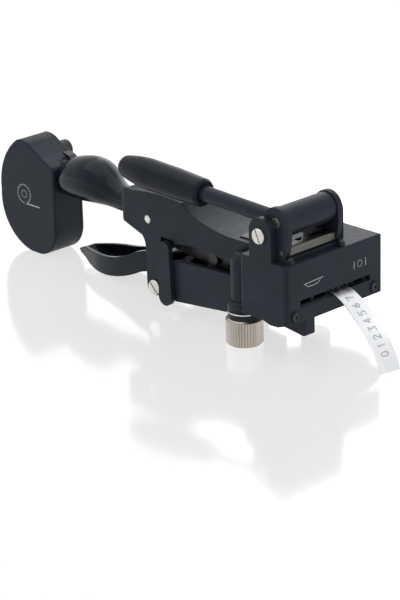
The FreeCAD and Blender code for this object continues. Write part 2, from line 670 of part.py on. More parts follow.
def upper_die_wheel():
    wheel = wheel_blank(UPPER_WHEEL[0], UPPER_WHEEL[1], WHEEL_RADIUS)
    hub_recess = cyl_z(UPPER_WHEEL[1] - 1.2, 40, WHEEL_X, WHEEL_Y, 16.0)
    hub = cyl_z(UPPER_WHEEL[1] - 1.3, UPPER_WHEEL[1], WHEEL_X, WHEEL_Y, 6.5)
    hole = cyl_z(20, 40, WHEEL_X, WHEEL_Y, SHAFT_RADIUS)
    wheel = fuse(wheel.cut(hub_recess), hub.cut(hole))
    return wheel.fuse(die_marks(UPPER_WHEEL[0] - 0.5, UPPER_WHEEL[0] + 0.2, 0.9))


def lower_die_wheel():
    wheel = wheel_blank(LOWER_WHEEL[0], LOWER_WHEEL[1], WHEEL_RADIUS)
    return wheel.cut(die_marks(LOWER_WHEEL[1] - 0.6, LOWER_WHEEL[1] + 1, 1.2))


def dial_shaft():
    shaft = cyl_z(11.0, 41.2, WHEEL_X, WHEEL_Y, SHAFT_RADIUS)
    spacer = cyl_z(LOWER_WHEEL[1], UPPER_WHEEL[0], WHEEL_X, WHEEL_Y, 7.0)
    hole = cyl_z(20, 40, WHEEL_X, WHEEL_Y, SHAFT_RADIUS - 1)
    return fuse(shaft, spacer.cut(hole))


def knurled(x, y, z0, z1, radius, grooves, depth):
    """Round knob with straight knurling and chamfered ends."""
    knob = cyl_z(z0, z1, x, y, radius)
    cutters = []
    for index in range(grooves):
        angle = 360.0 * index / grooves
        groove = box(-0.32, 0.32, -0.32, 0.32, z0 - 1, z1 + 1)
        groove.rotate(Vector(0, 0, 0), Vector(0, 0, 1), 45)
        groove.translate(Vector(radius + 0.45 - depth, 0, 0))
        groove.rotate(Vector(0, 0, 0), Vector(0, 0, 1), angle)
        groove.translate(Vector(x, y, 0))
        cutters.append(groove)
    return knob.cut(group(cutters))


def dial_knob():
    grip = knurled(WHEEL_X, WHEEL_Y, 6.8, 16.6, 7.6, 24, 0.4)
    foot = Part.makeCone(6.4, 7.2, 1.2, Vector(WHEEL_X, WHEEL_Y, 5.6))
    neck = cyl_z(16.6, BASE_BOTTOM - GAP, WHEEL_X, WHEEL_Y, 5.0)
    hole = cyl_z(11.0, 30, WHEEL_X, WHEEL_Y, SHAFT_RADIUS)
    return cut(fuse(grip, foot, neck), hole)


# ---------------------------------------------------------------- depth adjuster
def depth_knob():
    grip = knurled(KNOB_X, KNOB_Y, 1.0, KNOB_HEIGHT - 0.8, KNOB_RADIUS, 40, 0.35)
    foot = Part.makeCone(KNOB_RADIUS - 1.0, KNOB_RADIUS - 0.4, 1.0, Vector(KNOB_X, KNOB_Y, 0))
    crown = Part.makeCone(KNOB_RADIUS - 0.4, KNOB_RADIUS - 1.1, 0.8, Vector(KNOB_X, KNOB_Y, KNOB_HEIGHT - 0.8))
    socket = cyl_z(4.0, 20, KNOB_X, KNOB_Y, DEPTH_SCREW_RADIUS)
    return cut(fuse(grip, foot, crown), socket)


def depth_collar():
    collar = cyl_z(KNOB_HEIGHT, 16.6, KNOB_X, KNOB_Y, 8.1)
    return collar.cut(cyl_z(0, 30, KNOB_X, KNOB_Y, DEPTH_SCREW_RADIUS))


def depth_washer():
    washer = cyl_z(16.6, 17.2, KNOB_X, KNOB_Y, 8.4)
    return washer.cut(cyl_z(0, 30, KNOB_X, KNOB_Y, DEPTH_SCREW_RADIUS))


def depth_screw():
    return cyl_z(4.0, 31.0, KNOB_X, KNOB_Y, DEPTH_SCREW_RADIUS)


def anvil_arm():
    """Steel arm on the base plate that backs the lower die wheel under the tape."""
    start = Vector(-15.3, 34.0, 0)
    end = Vector(TAPE_X, EMBOSS_Y, 0)
    along_arm = end - start
    length = along_arm.Length
    angle = math.degrees(math.atan2(along_arm.y, along_arm.x))
    arm = box(0, length, -3.0, 3.0, PARTING_Z, PARTING_Z + 1.2)
    arm.rotate(Vector(0, 0, 0), Vector(0, 0, 1), angle)
    arm.translate(start)
    pad = cyl_z(PARTING_Z, PARTING_Z + 1.2, TAPE_X, EMBOSS_Y, 3.6)
    return fuse(arm, pad)


# ---------------------------------------------------------------- trigger chain
def plan_outline(half_widths):
    """Smooth plan view about the trigger's centre plane, from (y, half width) pairs."""
    right = Part.BSplineCurve()
    right.interpolate([Vector(TRIGGER_X + half, y, 0) for y, half in half_widths])
    left = Part.BSplineCurve()
    left.interpolate([Vector(TRIGGER_X - half, y, 0) for y, half in half_widths])
    first = half_widths[0]
    last = half_widths[-1]
    front = Part.makeLine(Vector(TRIGGER_X - first[1], first[0], 0), Vector(TRIGGER_X + first[1], first[0], 0))
    rear = Part.makeLine(Vector(TRIGGER_X - last[1], last[0], 0), Vector(TRIGGER_X + last[1], last[0], 0))
    outline = Part.Wire([front, right.toShape(), rear, left.toShape()])
    return Part.Face(outline).extrude(Vector(0, 0, 60))


def trigger():
    """Spoon-shaped finger lever with a short arm in front of its pivot."""
    side = side_prism(TRIGGER_X - 14, TRIGGER_X + 14, [
        (101.0, 8.2), (112.0, 11.4), ((121.0, 12.0), (129.0, 10.0)), ((141.0, 5.0), (155.0, 2.2)),
        ((168.0, 2.6), (178.0, 4.6)), (184.5, 5.6), (186.5, 7.0), (180.0, 9.8),
        ((170.0, 11.2), (160.0, 12.0)), ((148.0, 13.8), (136.5, 18.0)), ((126.0, 22.4), (115.0, 24.2)),
        ((105.0, 22.6), (101.0, 17.5)),
    ])
    outer = plan_outline((
        (100.0, 10.0), (116.0, 10.4), (132.0, 11.2), (150.0, 11.6), (165.0, 9.6), (176.0, 5.6), (183.0, 2.8),
        (187.0, 1.4),
    ))
    inner = plan_outline(((118.5, 8.4), (132.0, 9.4), (150.0, 9.8), (164.0, 7.8), (174.0, 4.4), (180.0, 1.8)))
    dish = side_prism(TRIGGER_X - 14, TRIGGER_X + 14, [
        (118.0, 40.0), (118.0, 16.4), ((127.0, 13.8), (136.0, 10.2)), ((150.0, 6.0), (164.0, 5.4)),
        ((173.0, 6.6), (181.0, 12.0)), (181.0, 40.0),
    ])
    blade = side.common(outer).cut(dish.common(inner))
    hub = cyl_x(-17.7, 12.7, TRIGGER_Y, TRIGGER_Z, 4.3)
    arm = link_bar(-17.7, -14.0, (TRIGGER_Y, TRIGGER_Z), (LINK_Y, LINK_LOW_Z), 4.3, 3.4)
    lever = fuse(blade, hub, arm)
    pivot = cyl_x(-30, 30, TRIGGER_Y, TRIGGER_Z, 2.5 + RUNNING)
    slot = slot_x(-20, -12, LINK_Y - 0.4, LINK_LOW_Z, LINK_PIN_RADIUS + 0.12, 0.6)
    return cut(lever, pivot, slot)


def trigger_link():
    """Upright strap with a pin at each end."""
    inner = BODY_NEAR - 0.4
    strap = link_bar(inner - 2.6, inner, (LINK_Y, 9.1), (LINK_Y, LINK_HIGH_Z), 4.6, 3.7)
    low_pin = cyl_x(inner, -14.2, LINK_Y, LINK_LOW_Z, LINK_PIN_RADIUS)
    high_pin = cyl_x(inner, -9.7, LINK_Y, LINK_HIGH_Z, LINK_PIN_RADIUS)
    return fuse(strap, low_pin, high_pin)


def rocker():
    rear_arm = link_bar(-14.2, -9.7, (ROCKER_Y, ROCKER_Z), (LINK_Y, LINK_HIGH_Z), 4.6, 3.2)
    front_arm = link_bar(-14.2, -9.7, (ROCKER_Y, ROCKER_Z), (20.5, 25.0), 4.6, 1.4)
    bar = fuse(rear_arm, front_arm)
    pivot = cyl_x(-20, 0, ROCKER_Y, ROCKER_Z, 2.0 + RUNNING)
    slot = slot_x(-20, 0, LINK_Y, LINK_HIGH_Z, LINK_PIN_RADIUS + 0.12, 0.6)
    return cut(bar, pivot, slot)


def rocker_pin():
    shank = cyl_x(-15.6, -3.8, ROCKER_Y, ROCKER_Z, 2.0)
    head = cyl_x(-16.6, -15.6, ROCKER_Y, ROCKER_Z, 3.2)
    return fuse(shank, head)


def trigger_spring():
    return coil_spring(Vector(-13.2, TRIGGER_Y, TRIGGER_Z), Vector(1, 0, 0), 4.0, 5.2, 0.7, 4)


# ---------------------------------------------------------------- cutter
def cutter_slide():
    beam = box(-14.0, 19.0, 3.3, 6.0, PARTING_Z + 0.2, 24.5)
    arm = box(-14.0, -9.0, 3.3, 20.6, 26.7, 28.2)
    post = box(-14.0, -9.0, 3.3, 6.0, PARTING_Z + 0.2, 28.2)
    holes = [cyl_z(20, 40, x, GUIDE_POST_Y, 1.0 + RUNNING) for x in GUIDE_POST_X]
    return cut(fuse(beam, arm, post), *holes)


def cutter_guides():
    """Two posts on the base plate that keep the cutter slide upright."""
    return group([cyl_z(PARTING_Z, 36.0, x, GUIDE_POST_Y, 1.0) for x in GUIDE_POST_X])


def cutter_blade():
    half = TAPE_WIDTH / 2 + 0.8
    blade = box(TAPE_X - half, TAPE_X + half, 3.6, 4.4, 24.5, 28.8)
    bevel = side_prism(TAPE_X - half - 1, TAPE_X + half + 1, [(3.3, 28.9), (4.45, 28.9), (4.45, 27.9)])
    return blade.cut(bevel)


def punch_pin():
    return fuse(cyl_z(24.5, 28.6, 16.5, 4.9, 1.2), cyl_z(24.5, 25.3, 16.5, 4.9, 1.1))


def label_guide():
    """Steel shoe that carries the label to the slot, with the blade's opening."""
    half = TAPE_WIDTH / 2
    shoe = box(TAPE_X - half - 1.5, TAPE_X + half + 1.5, 4.7, 10.5, 29.8, 31.2)
    hanger = box(TAPE_X - half - 1.5, TAPE_X - half + 0.5, 6.5, 9.5, 31.2, HOUSING_TOP - WALL)
    return fuse(shoe.cut(box(TAPE_X + 2.2, 40, 6.0, 20, 20, 40)), hanger)


# ---------------------------------------------------------------- feed unit
def feed_bracket():
    near = box(-5.6, -3.8, 63.0, 82.0, 14.2, 42.0)
    far = box(10.9, 12.7, 63.0, 82.0, 14.2, 42.0)
    bridge = box(-5.6, 12.7, 78.0, 82.0, 40.2, 42.0)
    floor_plate = box(-5.6, 12.7, 63.0, 82.0, 13.6, 14.8)
    unit = fuse(near, far, bridge, floor_plate)
    lower_bore = cyl_x(-20, 20, FEED_Y, feed_axis_z(), 2.0 + RUNNING)
    upper_bore = cyl_x(-20, 20, FEED_Y, idler_axis_z(), 2.0 + RUNNING)
    pin_bore = cyl_x(-20, 0, ROCKER_Y, ROCKER_Z, 2.0)
    return cut(unit, lower_bore, upper_bore, pin_bore)


def feed_axis_z():
    return TAPE_Z - TAPE_THICKNESS / 2 - 0.1 - FEED_RADIUS


def idler_axis_z():
    return TAPE_Z + TAPE_THICKNESS / 2 + 0.1 + IDLER_RADIUS


def roller(z, radius):
    barrel = cyl_x(-3.3, 10.4, FEED_Y, z, radius)
    axle = cyl_x(-5.4, 12.9, FEED_Y, z, 2.0)
    return fuse(barrel, axle)


# ---------------------------------------------------------------- magazine
def magazine_outline(x):
    """Side view of the magazine: a flat front, a short flat foot and a round back."""
    return side_face(x, [
        (196.1, 48.6), (196.1, 15.0), ((199.5, 5.6), (209.3, 0.0)), (216.3, 0.0),
        ((233.9, 9.6), (240.1, 30.5)), ((236.3, 49.3), (226.3, 60.7)),
        ((220.7, 62.1), (214.1, 59.9)), (205.5, 55.0), (197.7, 51.3), ((196.5, 50.1), (196.1, 48.6)),
    ])


def magazine_blank(x0, x1):
    return magazine_outline(x0).extrude(Vector(x1 - x0, 0, 0))


def inset_blank(x0, x1, inset):
    inner = magazine_outline(x0).makeOffset2D(-inset)
    return inner.extrude(Vector(x1 - x0, 0, 0))


def magazine_case():
    outer = magazine_blank(MAG_NEAR, MAG_FAR - 2.3)
    outer = round_edges(outer, 1.1, lambda e: e.BoundBox.XMax < MAG_NEAR + 0.01)
    inner = inset_blank(MAG_NEAR + MAG_WALL, MAG_FAR, MAG_WALL)
    tape_mouth = box(TAPE_X - 6.2, TAPE_X + 6.2, 190.0, 202.0, 46.4, 50.0)
    case = cut(outer, inner, tape_mouth)
    spindle = cyl_x(MAG_NEAR + MAG_WALL - 0.5, 9.5, SPOOL_Y, SPOOL_Z, 3.9)
    thumb_post = cyl_x(MAG_NEAR + MAG_WALL - 0.5, MAG_FAR - 2.3, THUMB_Y, THUMB_Z, 3.4)
    case = fuse(case, spindle, thumb_post)
    thread = cyl_x(MAG_FAR - 9.0, MAG_FAR + 1, THUMB_Y, THUMB_Z, 1.5 + RUNNING)
    return cut(case, thread)


def magazine_cover():
    cover = magazine_blank(MAG_FAR - 2.0, MAG_FAR)
    cover = round_edges(cover, 0.8, lambda e: e.BoundBox.XMin > MAG_FAR - 0.01)
    screw_hole = cyl_x(0, 30, THUMB_Y, THUMB_Z, 1.5 + RUNNING)
    return cut(cover, screw_hole)


def cover_thumb_screw():
    shank = cyl_x(MAG_FAR - 8.6, MAG_FAR + GAP, THUMB_Y, THUMB_Z, 1.5)
    head = cyl_x(MAG_FAR + GAP, MAG_FAR + 5.6, THUMB_Y, THUMB_Z, 5.0)
    head = round_edges(head, 0.6, lambda e: e.Curve.TypeId == "Part::GeomCircle")
    notches = []
    for index in range(12):
        angle = 2 * math.pi * index / 12
        y = THUMB_Y + 5.5 * math.cos(angle)
        z = THUMB_Z + 5.5 * math.sin(angle)
        notches.append(cyl_x(MAG_FAR - 1, MAG_FAR + 8, y, z, 0.9))
    return fuse(shank, head.cut(group(notches)))


def cover_catch():
    """Small spring tab on the case's front edge beside the cover."""
    tab = side_prism(5.0, 9.8, [
        (193.8, 50.7), (199.1, 53.8), (202.7, 55.2), (202.2, 56.2), (198.1, 55.0), (193.2, 51.7),
    ])
    return cut(tab, magazine_blank(MAG_NEAR, MAG_FAR + 5), rear_handle())


def tape_spool():
    core = cyl_x(-3.4, 9.65, SPOOL_Y, SPOOL_Z, CORE_RADIUS)
    flange = cyl_x(-3.4, -2.6, SPOOL_Y, SPOOL_Z, ROLL_RADIUS + 0.6)
    bore = cyl_x(-10, 20, SPOOL_Y, SPOOL_Z, 3.9 + RUNNING)
    windows = []
    for index in range(5):
        angle = 2 * math.pi * index / 5
        y = SPOOL_Y + 14.0 * math.cos(angle)
        z = SPOOL_Z + 14.0 * math.sin(angle)
        windows.append(cyl_x(-10, 20, y, z, 2.6))
    return cut(fuse(core, flange.cut(group(windows))), bore)


def tape_roll():
    roll = cyl_x(TAPE_X - TAPE_WIDTH / 2, TAPE_X + TAPE_WIDTH / 2, SPOOL_Y, SPOOL_Z, ROLL_RADIUS)
    return roll.cut(cyl_x(-10, 20, SPOOL_Y, SPOOL_Z, CORE_RADIUS))


# ---------------------------------------------------------------- fasteners
def housing_screws():
    screws = []
    for x in FACE_SCREW_X:
        head = cyl_y(-0.7, 0.1, x, FACE_SCREW_Z, 2.15)
        shank = cyl_y(0.1, 5.0, x, FACE_SCREW_Z, 1.25)
        socket = Part.Wire(Part.makePolygon([
            Vector(x + 1.15 * math.cos(math.radians(a)), -2.0, FACE_SCREW_Z + 1.15 * math.sin(math.radians(a)))
            for a in range(0, 361, 60)
        ]))
        hexagon = Part.Face(socket).extrude(Vector(0, 1.9, 0))
        screws.append(fuse(head, shank).cut(hexagon))
    return group(screws)


def ear_screws():
    near = slotted_screw(NEAR_EAR, 1, 6.0, EAR_SCREW_Y, EAR_SCREW_Z, 3.95, 2.0, 65)
    far = slotted_screw(FAR_EAR + EAR_THICKNESS, -1, 10.0, EAR_SCREW_Y, EAR_SCREW_Z, 3.95, 2.0, 20)
    return group([near, far])


def ear_bushes():
    near = cyl_x(NEAR_EAR, NEAR_CHEEK, EAR_SCREW_Y, EAR_SCREW_Z, 2.55)
    far = cyl_x(FAR_CHEEK + CHEEK_THICKNESS, FAR_EAR + EAR_THICKNESS, EAR_SCREW_Y, EAR_SCREW_Z, 2.55)
    far_sleeve = cyl_x(FAR_CHEEK + CHEEK_THICKNESS, FAR_EAR, EAR_SCREW_Y, EAR_SCREW_Z, 4.4)
    hole = cyl_x(-50, 50, EAR_SCREW_Y, EAR_SCREW_Z, 2.0)
    return group([near.cut(hole), fuse(far, far_sleeve).cut(hole)])


def trigger_pivot_screws():
    near = slotted_screw(BODY_NEAR, 1, 22.0, TRIGGER_Y, TRIGGER_Z, 4.0, 2.5, 45)
    far = slotted_screw(BODY_FAR, -1, 12.0, TRIGGER_Y, TRIGGER_Z, 4.0, 2.5, 30)
    return group([near, far])


def body_rivets():
    shank = cyl_x(BODY_NEAR - 0.1, BODY_FAR + 0.1, 109.0, 46.4, 1.3)
    heads = []
    for x, direction in ((BODY_NEAR, -1), (BODY_FAR, 1)):
        ball = Part.makeSphere(3.0, Vector(x - direction * 2.1, 109.0, 46.4))
        low = min(x, x + direction * 2)
        heads.append(ball.common(box(low, low + 2, 100, 120, 40, 55)))
    return fuse(shank, *heads)


def main():
    os.makedirs("parts", exist_ok=True)
    export("front_housing", front_housing())
    export("base_plate", base_plate())
    export("depth_column", depth_column())
    export("support_foot", support_foot())
    export("rear_foot", rear_foot())
    export("upper_body", upper_body())
    export("lower_body", lower_body())
    export("body_top_plate", body_top_cover())
    export("rear_handle", rear_handle())
    export("tape_strip", tape_strip())
    export("label_strip", label_strip())
    export("lever_frame", lever_frame())
    export("frame_screws", frame_screws())
    export("stop_bar", stop_bar())
    export("lever_axle", lever_axle())
    export("lever_drum", lever_drum())
    export("lever_cam", lever_cam())
    export("lever_tube", lever_tube())
    export("lever_grip", lever_grip())
    export("plunger", plunger())
    export("plunger_spring", plunger_spring())
    export("upper_die_wheel", upper_die_wheel())
    export("lower_die_wheel", lower_die_wheel())
    export("dial_shaft", dial_shaft())
    export("dial_knob", dial_knob())
    export("depth_knob", depth_knob())
    export("depth_collar", depth_collar())
    export("depth_washer", depth_washer())
    export("depth_screw", depth_screw())
    export("anvil_arm", anvil_arm())
    export("trigger", trigger())
    export("trigger_link", trigger_link())
    export("rocker", rocker())
    export("rocker_pin", rocker_pin())
    export("trigger_spring", trigger_spring())
    export("cutter_slide", cutter_slide())
    export("cutter_guides", cutter_guides())
    export("cutter_blade", cutter_blade())
    export("punch_pin", punch_pin())
    export("label_guide", label_guide())
    export("feed_bracket", feed_bracket())
    export("feed_roller", roller(feed_axis_z(), FEED_RADIUS))
    export("idler_roller", roller(idler_axis_z(), IDLER_RADIUS))
    export("magazine_case", magazine_case())
    export("magazine_cover", magazine_cover())
    export("cover_thumb_screw", cover_thumb_screw())
    export("cover_catch", cover_catch())
    export("tape_spool", tape_spool())
    export("tape_roll", tape_roll())
    export("housing_screws", housing_screws())
    export("ear_screws", ear_screws())
    export("ear_bushes", ear_bushes())
    export("trigger_pivot_screws", trigger_pivot_screws())
    export("body_rivets", body_rivets())


main()
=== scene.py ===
"""Looks of the metal-tape label embosser: paint, plating, tape, marks, studio."""

import json
import math

import bpy
from mathutils import Matrix, Vector
from mathutils.bvhtree import BVHTree


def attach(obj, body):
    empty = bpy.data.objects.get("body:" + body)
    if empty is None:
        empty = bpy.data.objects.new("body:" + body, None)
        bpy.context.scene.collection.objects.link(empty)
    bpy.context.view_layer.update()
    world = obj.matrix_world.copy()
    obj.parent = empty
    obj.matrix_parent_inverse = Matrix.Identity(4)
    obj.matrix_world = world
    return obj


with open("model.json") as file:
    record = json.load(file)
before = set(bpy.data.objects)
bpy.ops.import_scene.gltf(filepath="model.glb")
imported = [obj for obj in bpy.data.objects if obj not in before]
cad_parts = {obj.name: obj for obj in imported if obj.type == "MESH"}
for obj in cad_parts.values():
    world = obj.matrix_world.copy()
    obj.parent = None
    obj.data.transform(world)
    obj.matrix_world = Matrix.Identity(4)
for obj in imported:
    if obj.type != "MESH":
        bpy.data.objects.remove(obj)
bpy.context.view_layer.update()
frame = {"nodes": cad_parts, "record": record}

# ---------------------------------------------------------------- shared sizes
MM = 0.001
SHIFT = Vector((24.0, -38.0, 0.0))      # from the drawing's origin to the model's, in mm


def place(x, y, z):
    """Point of the drawing, in mm, as a point of the model, in metres."""
    return (Vector((x, y, z)) + SHIFT) * MM


# ---------------------------------------------------------------- node helpers
COAT_ROUGHNESS = 0.08


class Shader:
    """Small wrapper that builds one procedural material."""

    def __init__(self, name, base, metallic, roughness, specular=0.5, coat=0.0):
        self.mat = bpy.data.materials.new(name)
        self.mat.use_nodes = True
        self.tree = self.mat.node_tree
        self.bsdf = self.tree.nodes["Principled BSDF"]
        self.bsdf.inputs["Base Color"].default_value = (*base, 1.0)
        self.bsdf.inputs["Metallic"].default_value = metallic
        self.bsdf.inputs["Roughness"].default_value = roughness
        self.bsdf.inputs["Specular IOR Level"].default_value = specular
        self.bsdf.inputs["Coat Weight"].default_value = coat
        self.bsdf.inputs["Coat Roughness"].default_value = COAT_ROUGHNESS
        self.coords = self.node("ShaderNodeTexCoord").outputs["Object"]
        self.normal = None

    def node(self, kind, **values):
        made = self.tree.nodes.new(kind)
        for key, value in values.items():
            setattr(made, key, value)
        return made

    def link(self, source, target):
        self.tree.links.new(source, target)

    def stretched(self, scale):
        mapping = self.node("ShaderNodeMapping")
        mapping.inputs["Scale"].default_value = scale
        self.link(self.coords, mapping.inputs["Vector"])
        return mapping.outputs["Vector"]

    def noise(self, scale, detail=3.0, rough=0.55, stretch=None):
        tex = self.node("ShaderNodeTexNoise")
        tex.inputs["Scale"].default_value = scale
        tex.inputs["Detail"].default_value = detail
        tex.inputs["Roughness"].default_value = rough
        self.link(self.stretched(stretch) if stretch else self.coords, tex.inputs["Vector"])
        return tex.outputs["Fac"]

    def spread(self, source, low, high):
        """Stretch the middle of a noise over the range low to high."""
        ramp = self.node("ShaderNodeMapRange")
        ramp.inputs["From Min"].default_value = 0.3
        ramp.inputs["From Max"].default_value = 0.7
        ramp.inputs["To Min"].default_value = low
        ramp.inputs["To Max"].default_value = high
        self.link(source, ramp.inputs["Value"])
        return ramp.outputs["Result"]

    def tint(self, source, dark, light):
        mix = self.node("ShaderNodeMix", data_type="RGBA")
        mix.inputs["A"].default_value = (*dark, 1.0)
        mix.inputs["B"].default_value = (*light, 1.0)
        self.link(source, mix.inputs["Factor"])
        self.link(mix.outputs["Result"], self.bsdf.inputs["Base Color"])

    def rough(self, source, low, high):
        self.link(self.spread(source, low, high), self.bsdf.inputs["Roughness"])

    def soften(self, radius):
        """Rounded look on every sharp edge."""
        bevel = self.node("ShaderNodeBevel", samples=4)
        bevel.inputs["Radius"].default_value = radius
        self.normal = bevel.outputs["Normal"]
        self.link(self.normal, self.bsdf.inputs["Normal"])

    def bump(self, source, strength, distance):
        bump = self.node("ShaderNodeBump")
        bump.inputs["Strength"].default_value = strength
        bump.inputs["Distance"].default_value = distance
        self.link(source, bump.inputs["Height"])
        if self.normal:
            self.link(self.normal, bump.inputs["Normal"])
        self.normal = bump.outputs["Normal"]
        self.link(self.normal, self.bsdf.inputs["Normal"])


def satin_paint():
    made = Shader("satin_enamel", (0.010, 0.012, 0.016), 0.0, 0.42, specular=0.16)
    made.bsdf.inputs["Specular Tint"].default_value = (0.78, 0.90, 1.0, 1.0)
    cloud = made.noise(60.0, 4.0)
    made.tint(made.spread(cloud, 0.0, 1.0), (0.0100, 0.0122, 0.0170), (0.0155, 0.0187, 0.0262))
    made.rough(made.noise(420.0, 3.0), 0.36, 0.47)
    made.soften(0.0005)
    made.bump(made.noise(2600.0, 2.0), 0.10, 0.00004)
    return made.mat


def gloss_paint():
    made = Shader("gloss_enamel", (0.004, 0.006, 0.009), 0.0, 0.18, specular=0.175, coat=0.045)
    made.bsdf.inputs["Specular Tint"].default_value = (0.78, 0.89, 1.0, 1.0)
    cloud = made.noise(45.0, 3.0)
    made.tint(made.spread(cloud, 0.0, 1.0), (0.0030, 0.0043, 0.0070), (0.0055, 0.0076, 0.0120))
    made.rough(made.noise(300.0, 2.0), 0.14, 0.21)
    made.soften(0.0006)
    made.bump(made.noise(220.0, 2.0), 0.06, 0.00008)
    return made.mat


def moulded_grip():
    made = Shader("moulded_grip", (0.007, 0.008, 0.012), 0.0, 0.34, specular=0.125)
    made.bsdf.inputs["Specular Tint"].default_value = (0.80, 0.90, 1.0, 1.0)
    grain = made.noise(900.0, 3.0)
    made.tint(made.spread(grain, 0.0, 1.0), (0.0045, 0.0058, 0.0088), (0.0080, 0.0098, 0.0145))
    made.rough(made.noise(260.0, 3.0), 0.30, 0.40)
    made.soften(0.0004)
    made.bump(grain, 0.10, 0.00004)
    return made.mat


def plated(name, dark, light, rough_low, rough_high, stretch=None):
    made = Shader(name, light, 1.0, rough_low)
    cloud = made.noise(90.0, 4.0, stretch=stretch)
    made.tint(made.spread(cloud, 0.0, 1.0), dark, light)
    made.rough(made.noise(700.0, 3.0, stretch=stretch), rough_low, rough_high)
    made.soften(0.00025)
    made.bump(made.noise(1900.0, 2.0, stretch=stretch), 0.08, 0.00003)
    return made.mat


def black_moulding():
    made = Shader("black_moulding", (0.014, 0.014, 0.016), 0.0, 0.45, specular=0.25)
    grain = made.noise(1400.0, 3.0)
    made.tint(made.spread(grain, 0.0, 1.0), (0.011, 0.011, 0.013), (0.019, 0.019, 0.021))
    made.rough(made.noise(300.0, 2.0), 0.40, 0.52)
    made.soften(0.0003)
    made.bump(grain, 0.12, 0.00004)
    return made.mat


def print_ink():
    made = Shader("pale_print", (0.32, 0.34, 0.36), 0.0, 0.5)
    grain = made.noise(2500.0, 3.0)
    made.tint(made.spread(grain, 0.0, 1.0), (0.22, 0.235, 0.25), (0.38, 0.40, 0.43))
    made.rough(grain, 0.4, 0.6)
    return made.mat


ALONG_X = (0.06, 1.0, 1.0)
DOWN_THE_KNOB = (1.0, 1.0, 0.15)
TURNED = (1.0, 0.1, 0.1)
ROLLED = (1.0, 0.12, 0.12)
MATERIALS = {
    "satin_paint": satin_paint(),
    "gloss_paint": gloss_paint(),
    "grip_plastic": moulded_grip(),
    "brushed": plated("brushed_steel", (0.085, 0.09, 0.08), (0.19, 0.195, 0.175), 0.34, 0.50, ALONG_X),
    "nickel": plated("bright_nickel", (0.52, 0.51, 0.48), (0.70, 0.69, 0.66), 0.18, 0.30),
    "knob_nickel": plated("warm_nickel", (0.36, 0.325, 0.28), (0.56, 0.51, 0.45), 0.26, 0.40, DOWN_THE_KNOB),
    "dark_steel": plated("blackened_steel", (0.030, 0.031, 0.034), (0.065, 0.067, 0.072), 0.30, 0.44),
    "dial_plastic": black_moulding(),
    "tape_metal": plated("tape_metal", (0.64, 0.66, 0.68), (0.83, 0.84, 0.86), 0.22, 0.34, ROLLED),
    "spring_steel": plated("spring_steel", (0.38, 0.38, 0.37), (0.58, 0.58, 0.56), 0.22, 0.34),
    "brass_roller": plated("turned_brass", (0.42, 0.30, 0.12), (0.62, 0.45, 0.20), 0.24, 0.36, TURNED),
}
INK = print_ink()

for entry in frame["record"]["subparts"]:
    node = frame["nodes"][entry["node"]]
    node.data.materials.clear()
    node.data.materials.append(MATERIALS[entry["material_slot"]])


# ---------------------------------------------------------------- added pieces
def add_mesh(name, points, faces, material):
    mesh = bpy.data.meshes.new(name)
    mesh.from_pydata([tuple(p) for p in points], [], faces)
    mesh.update()
    made = bpy.data.objects.new(name, mesh)
    bpy.context.scene.collection.objects.link(made)
    made.data.materials.append(material)
    return made


BOX_FACES = ((3, 2, 1, 0), (4, 5, 6, 7), (0, 1, 5, 4), (1, 2, 6, 5), (2, 3, 7, 6), (3, 0, 4, 7))


def strokes(name, lines, width, depth, body, material, to_point):
    """One mesh of thin raised strokes; each line is two points of a flat drawing."""
    points, faces = [], []
    for (ax, ay), (bx, by) in lines:
        run = Vector((bx - ax, by - ay))
        side = Vector((-run.y, run.x)).normalized() * width / 2
        lap = run.normalized() * width / 2
        flat = [Vector((ax, ay)) - lap - side, Vector((bx, by)) + lap - side,
                Vector((bx, by)) + lap + side, Vector((ax, ay)) - lap + side]
        low = [to_point(p.x, p.y, 0.0) for p in flat]
        high = [to_point(p.x, p.y, depth) for p in flat]
        start = len(points)
        points += low + high
        faces += [tuple(start + k for k in quad) for quad in BOX_FACES]
    made = add_mesh(name, points, faces, material)
    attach(made, body)
    return made


# marks on the head's front face: x across, z up
def on_front(x, z, lift):
    return place(x, -lift, z)


def ring(cx, cy, rx, ry, count=12):
    """Oval drawn as short strokes."""
    turns = [k * math.tau / count for k in range(count)]
    spots = [(cx + rx * math.cos(turn), cy + ry * math.sin(turn)) for turn in turns]
    return list(zip(spots, spots[1:] + spots[:1]))


def polyline(*points):
    return list(zip(points, points[1:]))


MARK_WIDTH = 0.42
MARK_LIFT = 0.05
SLOT_MARK = [((13.6, 37.2), (13.6, 40.7)), ((21.8, 37.2), (21.8, 40.7))] + ring(17.6, 39.0, 1.7, 1.6)
BLADE_MARK = polyline((-21.4, 38.8), (-8.5, 39.3))
BLADE_MARK += polyline(
    (-20.6, 38.6), (-18.9, 37.0), (-14.6, 36.9), (-11.6, 37.3), (-10.5, 38.2), (-10.2, 39.1)
)
strokes("punch_mark", SLOT_MARK, MARK_WIDTH, MARK_LIFT, "tool_frame", INK, on_front)
strokes("cutter_mark", BLADE_MARK, MARK_WIDTH, MARK_LIFT, "tool_frame", INK, on_front)


